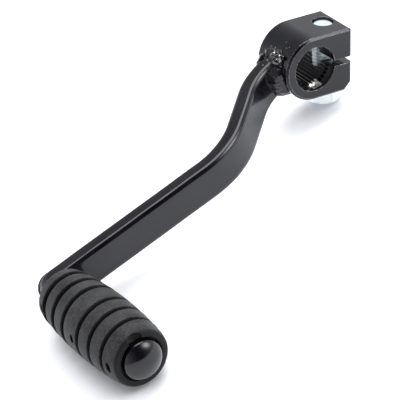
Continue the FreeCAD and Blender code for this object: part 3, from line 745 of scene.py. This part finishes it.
def make_peg():
    """The peg: a spigot, a rod, and a head whose dome starts with a soft corner."""
    head = (peg_high.x - peg_low.x) / 2
    dome_foot = peg_low.y + DOME_HEIGHT
    dome_radius = (head**2 + DOME_HEIGHT**2) / (2 * DOME_HEIGHT)
    reach = degrees(asin(head / dome_radius))
    dome = arc((peg_low.y + dome_radius, 0), dome_radius, 180 - reach, 180, DOME_STEPS)
    outline = [(peg_high.y, 0.0), (peg_high.y, SPIGOT_RADIUS - SPIGOT_CHAMFER)]
    outline += [(peg_high.y - SPIGOT_CHAMFER, SPIGOT_RADIUS), (ROD_START, SPIGOT_RADIUS)]
    outline += [(ROD_START, ROD_RADIUS - ROD_CHAMFER), (ROD_START - ROD_CHAMFER, ROD_RADIUS)]
    outline += [(HEAD_START, ROD_RADIUS)]
    outline += arc((HEAD_START - HEAD_EDGE, head - HEAD_EDGE), HEAD_EDGE, 0, 90, 5)
    start, corner = Vector((dome_foot + CORNER_RUN, head)), Vector((dome_foot, head))
    end = Vector(dome[CORNER_POINTS])
    for step in range(CORNER_STEPS + 1):
        share = step / CORNER_STEPS
        curve = start * (1 - share) ** 2 + corner * 2 * share * (1 - share) + end * share**2
        outline.append((curve.x, curve.y))
    outline += dome[CORNER_POINTS + 1 : -1] + [(peg_low.y, 0.0)]
    points, faces = turned(outline, 128, PEG_AXIS)
    mesh_piece("peg_turned", points, faces, 0, enamel_dome, "lever", ("foot_peg",))


make_peg()

GRIP_CROWN = (grip_high.x - grip_low.x) / 2  # largest radius
GRIP_CROWN_Y = -50.0
GRIP_BARREL_RADIUS = 178.0
GROOVE_PLACES = (-26.6, -34.1, -41.5, -51.8, -59.3, -66.8)
GROOVE_WIDTH = 2.1
GROOVE_DEPTH = 2.0
GROOVE_LIP = 0.22
GRIP_BORE = 6.05
GRIP_HOLE = 8.2  # radius of the hole that takes the peg's head
GRIP_HOLE_LIP = 0.45
GRIP_HOLE_FLOOR = -73.0
GRIP_LIP = 1.4  # radius of the corner at the grip's outer end
GRIP_NEAR_LIP = 0.7
GRIP_STEPS = 240


def barrel(place):
    """Radius of the grip at a place along it."""
    return GRIP_CROWN - (place - GRIP_CROWN_Y) ** 2 / (2 * GRIP_BARREL_RADIUS)


def groove_outline(place):
    """One groove, from its edge nearer the arm: a lip, a wall, a round floor, and the same back out."""
    half, top = GROOVE_WIDTH / 2, barrel(place)
    floor = top - GROOVE_DEPTH
    lip_at, corner_at = half + GROOVE_LIP, half - GROOVE_LIP
    outline = arc((place + lip_at, top - GROOVE_LIP), GROOVE_LIP, 90, 180, 4)
    outline += arc((place + corner_at, floor + GROOVE_LIP), GROOVE_LIP, 0, -90, 3)
    outline += arc((place - corner_at, floor + GROOVE_LIP), GROOVE_LIP, -90, -180, 3)
    outline += arc((place - lip_at, top - GROOVE_LIP), GROOVE_LIP, 0, 90, 4)
    return outline


def band_outline(start, end):
    """The barrel between two grooves, ends left out."""
    steps = max(2, round(abs(end - start) / 1.1))
    places = [start + (end - start) * step / steps for step in range(1, steps)]
    return [(place, barrel(place)) for place in places]


def grip_outline():
    """The grip's whole section: barrel and grooves, outer end, the hole for the head, and the bore."""
    near, far = grip_high.y, grip_low.y
    gap = GROOVE_WIDTH / 2 + GROOVE_LIP
    outline = arc((near - GRIP_NEAR_LIP, barrel(near) - GRIP_NEAR_LIP), GRIP_NEAR_LIP, 0, 90, 5)
    at = near - GRIP_NEAR_LIP
    for place in GROOVE_PLACES:
        outline += band_outline(at, place + gap) + groove_outline(place)
        at = place - gap
    outline += band_outline(at, far + GRIP_LIP)
    outline += arc((far + GRIP_LIP, barrel(far) - GRIP_LIP), GRIP_LIP, 90, 180, 8)
    outline += arc((far + GRIP_HOLE_LIP, GRIP_HOLE + GRIP_HOLE_LIP), GRIP_HOLE_LIP, 180, 270, 5)
    outline += [(GRIP_HOLE_FLOOR, GRIP_HOLE), (GRIP_HOLE_FLOOR, GRIP_BORE), (near, GRIP_BORE)]
    return outline


def pit(place, turn, sizes, lean=0.0, depth_at=None):
    """A closed lens to cut from the grip: sizes along Y, round the grip and inwards, in millimetres."""
    shape = bmesh.new()
    bmesh.ops.create_uvsphere(shape, u_segments=28, v_segments=14, radius=1)
    outward = Vector((cos(turn), 0, sin(turn)))
    onward = Vector((-sin(turn), 0, cos(turn)))
    along = Vector((0, 1, 0))
    out = barrel(place) if depth_at is None else depth_at
    middle = Vector((PEG_AXIS[0], place, PEG_AXIS[1])) + outward * out
    ways = (along * cos(lean) + onward * sin(lean), onward * cos(lean) - along * sin(lean), outward)
    for vertex in shape.verts:
        spot = middle
        for way, amount, size in zip(ways, vertex.co, sizes):
            spot = spot + way * amount * size
        vertex.co = spot * MM
    mesh = bpy.data.meshes.new("pit")
    shape.to_mesh(mesh)
    shape.free()
    cutter = bpy.data.objects.new("pit", mesh)
    bpy.context.scene.collection.objects.link(cutter)
    return cutter


# air vents of the mould in the first, the middle and the last band: place, turn round the grip and scale
VENTS = ((-24.3, radians(162), 0.95), (-48.4, radians(163), 1.0), (-70.8, radians(168), 1.2))
VENT_SIZES = (1.0, 1.7, 1.9)
VENT_LEAN = radians(12)
NOTCH_TURN = radians(88)
NOTCH_SIZES = (2.4, 3.0, 2.1)
NOTCH_OUT = 0.9  # from the hole's edge to the notch's middle


def make_grip():
    """The grip, turned from its section, with the vents and the notch at its hole cut out of it."""
    points, faces = turned(grip_outline(), GRIP_STEPS, PEG_AXIS, closed=True)
    grip = mesh_piece("grip_barrel", points, faces, 0, rubber, "lever", ("grip_rubber",))
    cutters = []
    for place, turn, scale in VENTS:
        cutters.append(pit(place, turn, [size * scale for size in VENT_SIZES], VENT_LEAN))
    cutters.append(pit(grip_low.y, NOTCH_TURN, NOTCH_SIZES, depth_at=GRIP_HOLE + NOTCH_OUT))
    for cutter in cutters:
        cut = grip.modifiers.new("cut", "BOOLEAN")
        cut.operation = "DIFFERENCE"
        cut.solver = "EXACT"
        cut.object = cutter
    evaluated = bpy.context.evaluated_depsgraph_get()
    carved = bpy.data.meshes.new_from_object(grip.evaluated_get(evaluated))
    grip.modifiers.clear()
    grip.data = carved
    for cutter in cutters:
        bpy.data.objects.remove(cutter)
    finish_mesh(carved)


make_grip()

# ---------------------------------------------------------------------------------------------------------
# Clamp bolt: hexagon head, M8 thread, in the hub frame
# ---------------------------------------------------------------------------------------------------------
BOLT_SEAT = -13.6  # under the head
BOLT_LENGTH = 25.0
HEAD_HEIGHT = 5.3
HEAD_FLAT = 6.0  # axis to a flat
DISH_DEPTH = 0.35  # the shallow dish in the head's outer face
DISH_RADII = (3.3, 4.2)
FACE_CHAMFER = 1.1  # height of the turned chamfer on the head's outer face
UNDER_CHAMFER = 0.3
THREAD_RADIUS = 3.95
THREAD_PITCH = 1.25
THREAD_DEPTH = 0.767
THREAD_RUN_OUT = 1.2
THREAD_LEAD_IN = 0.55
THREAD_ROWS = 12  # rows of points per turn
BOLT_STEPS = 96


def hexagon(turn):
    """Distance from the axis to the side of the head."""
    sixth = pi / 3
    return HEAD_FLAT / cos((turn + sixth / 2) % sixth - sixth / 2)


def thread(turn, place):
    """Radius of a right-hand metric thread with flat crests and roots."""
    phase = (place / THREAD_PITCH - turn / tau) % 1
    off_crest = min(phase, 1 - phase)
    share = min(1.0, max(0.0, (off_crest - 1 / 16) / (3 / 8 - 1 / 16)))
    return THREAD_RADIUS - THREAD_DEPTH * share


def make_bolt():
    """The bolt as rows of points from its head to its tip; each row is a place and a radius for each turn."""
    outer, tip = BOLT_SEAT - HEAD_HEIGHT, BOLT_SEAT + BOLT_LENGTH
    floor, rim = DISH_RADII
    dish = outer + DISH_DEPTH
    rows = [(dish, lambda turn: 0.0), (dish, lambda turn: floor), (outer, lambda turn: rim)]
    for step in range(9):
        rise = FACE_CHAMFER * step / 8
        rows.append((outer + rise, lambda turn, rise=rise: min(hexagon(turn), 5.55 + 1.75 * rise)))
    for step in range(3):
        rise = UNDER_CHAMFER * step / 2
        rows.append((BOLT_SEAT - 0.55 + rise, lambda turn, rise=rise: min(hexagon(turn), 6.9 - 1.2 * rise)))
    rows += [(BOLT_SEAT - 0.2, lambda turn: 5.5), (BOLT_SEAT, lambda turn: 5.4)]
    count = round(BOLT_LENGTH / THREAD_PITCH * THREAD_ROWS)
    for step in range(count + 1):
        place = BOLT_SEAT + BOLT_LENGTH * step / count

        def radius(turn, place=place):
            run_out = min(1.0, (place - BOLT_SEAT) / THREAD_RUN_OUT)
            lead_in = THREAD_RADIUS - THREAD_LEAD_IN * max(0.0, 1 - (tip - place) / THREAD_LEAD_IN)
            cut = THREAD_RADIUS - (THREAD_RADIUS - thread(turn, place)) * run_out
            return min(cut, lead_in)

        rows.append((place, radius))
    rows += [(tip, lambda turn: 1.2), (tip - 0.05, lambda turn: 0.9), (tip - 0.05, lambda turn: 0.0)]
    points, rings = [], []
    for place, radius in rows:
        count = 1 if radius(0.0) == 0 else BOLT_STEPS
        rings.append(list(range(len(points), len(points) + count)))
        for number in range(count):
            turn = tau * number / BOLT_STEPS
            out = radius(turn)
            points.append((BOLT_PLACE[0] + out * cos(turn), BOLT_PLACE[1] + out * sin(turn), place))
    mesh_piece("bolt_m8", points, bridge(rings), HUB_TURN, zinc, "bolt", ("clamp_bolt",))


make_bolt()

# ---------------------------------------------------------------------------------------------------------
# Floor, light and camera
# ---------------------------------------------------------------------------------------------------------
FLOOR_HALF = 6.0
FLOOR_GLOW = 0.52
FLOOR_GLOW_REACH = (0.5, 2.5)  # the glow fades out between these distances
FLOOR_SHELTER = 0.045  # painted shadow: what stands closer than this takes the glow away
FLOOR_OPEN = (0.38, 0.62)  # openness above the floor where the glow, which is painted light, starts and where it is full


def make_floor():
    """A pale floor at the lever's lowest point that glows as painted light; the glow fades far away and is
    taken away close under the lever, which paints its contact shadows.
    """
    corners = [(x * FLOOR_HALF, y * FLOOR_HALF, cad_low.z) for x, y in ((-1, -1), (1, -1), (1, 1), (-1, 1))]
    mesh = bpy.data.meshes.new("floor")
    mesh.from_pydata(corners, [], [(0, 1, 2, 3)])
    floor = bpy.data.objects.new("floor", mesh)
    bpy.context.scene.collection.objects.link(floor)
    material, tree, shader, place = new_material("pale_floor")
    tint = blend_colours(tree, grain(tree, place, 60), (0.86, 0.865, 0.885), (0.88, 0.88, 0.90))
    away = add_node(tree, "ShaderNodeVectorMath", {0: place}, operation="LENGTH").outputs["Value"]
    shelter = {"Distance": FLOOR_SHELTER}
    openness = add_node(tree, "ShaderNodeAmbientOcclusion", shelter, samples=12).outputs["AO"]
    glow = spread(tree, away, *FLOOR_GLOW_REACH, FLOOR_GLOW, 0.0)
    # Painted shadow: the glow is taken away where the floor is closed in under the lever.
    glow = compute(tree, "MULTIPLY", glow, spread(tree, openness, *FLOOR_OPEN, 0.0, 1.0))
    feed(tree, shader, Base_Color=tint, Emission_Strength=glow)
    shader.inputs["Roughness"].default_value = 0.9
    shader.inputs["Specular IOR Level"].default_value = 0.2
    shader.inputs["Emission Color"].default_value = (0.96, 0.965, 1.0, 1)
    mesh.materials.append(material)


LAMP_WHITE = (0.97, 0.975, 1.0)
LAMP_AIM = (cad_low + cad_high) / 2


def softbox(name, direction, distance, width, depth, power):
    """A round lamp that looks at the lever's middle from a direction."""
    data = bpy.data.lights.new(name, "AREA")
    data.shape = "ELLIPSE"
    data.size, data.size_y = width, depth
    data.energy = power
    data.color = LAMP_WHITE
    lamp = bpy.data.objects.new(name, data)
    lamp.location = LAMP_AIM + Vector(direction).normalized() * distance
    lamp.rotation_mode = "QUATERNION"
    lamp.rotation_quaternion = (LAMP_AIM - lamp.location).to_track_quat("-Z", "Y")
    bpy.context.scene.collection.objects.link(lamp)


VIEW_AIM = Vector((-0.05692, 0.00134, -0.02860))
VIEW_DISTANCE = 1.110
VIEW_AZIMUTH = radians(-20.42)
VIEW_ELEVATION = radians(36.70)
VIEW_ROLL = radians(22.206)
VIEW_LENS = 270


def make_camera():
    """A long lens, turned about its own axis by the view's roll."""
    data = bpy.data.cameras.new("camera")
    data.lens = VIEW_LENS
    data.sensor_width = 36
    data.clip_start, data.clip_end = 0.01, 50
    camera = bpy.data.objects.new("camera", data)
    flat = cos(VIEW_ELEVATION)
    look = Vector((-sin(VIEW_AZIMUTH) * flat, cos(VIEW_AZIMUTH) * flat, -sin(VIEW_ELEVATION)))
    upright = look.to_track_quat("-Z", "Y").to_matrix().to_4x4()
    camera.matrix_world = (
        Matrix.Translation(VIEW_AIM - look * VIEW_DISTANCE) @ upright @ Matrix.Rotation(-VIEW_ROLL, 4, "Z")
    )
    bpy.context.scene.collection.objects.link(camera)
    bpy.context.scene.camera = camera


TENT_LEVEL = 0.05  # brightness in front of the lever
TENT_BACK = 0.85
TENT_SIDES = 0.95
TENT_FALL = 0.55  # share of the back wall's light that is lost on the way up


def make_world():
    """A studio with pale walls behind and beside the lever, and a dark one in front of it."""
    world = bpy.data.worlds.new("studio")
    world.use_nodes = True
    tree = world.node_tree
    way = tree.nodes.new("ShaderNodeTexCoord").outputs["Generated"]
    parts = add_node(tree, "ShaderNodeSeparateXYZ", {"Vector": way}).outputs
    backward = compute(tree, "MAXIMUM", parts["Y"], 0.0)
    upward = compute(tree, "MAXIMUM", parts["Z"], 0.0)
    fall = compute(tree, "SUBTRACT", 1.0, compute(tree, "MULTIPLY", upward, TENT_FALL))
    wall = compute(tree, "MULTIPLY", compute(tree, "MULTIPLY", backward, fall), TENT_BACK)
    sides = compute(tree, "MULTIPLY", compute(tree, "POWER", parts["X"], 2.0), TENT_SIDES)
    strength = compute(tree, "ADD", compute(tree, "ADD", wall, sides), TENT_LEVEL)
    sky = tree.nodes["Background"]
    sky.inputs["Color"].default_value = (0.96, 0.97, 1.0, 1)
    tree.links.new(strength, sky.inputs["Strength"])
    bpy.context.scene.world = world
    bpy.context.scene.view_settings.view_transform = "Standard"


make_floor()
softbox("overhead", (0.32, 0.20, 0.92), 1.15, 1.0, 1.0, 10.5)
for size, power in ((0.50, 4.5), (0.90, 5.5), (1.20, 2.6)):  # one lamp that fades towards its rim
    softbox("right", (0.66, -0.50, 0.51), 1.30, size, size, power)
softbox("left", (-0.90, 0.45, 0.55), 1.30, 0.9, 0.7, 1.3)
make_camera()
make_world()
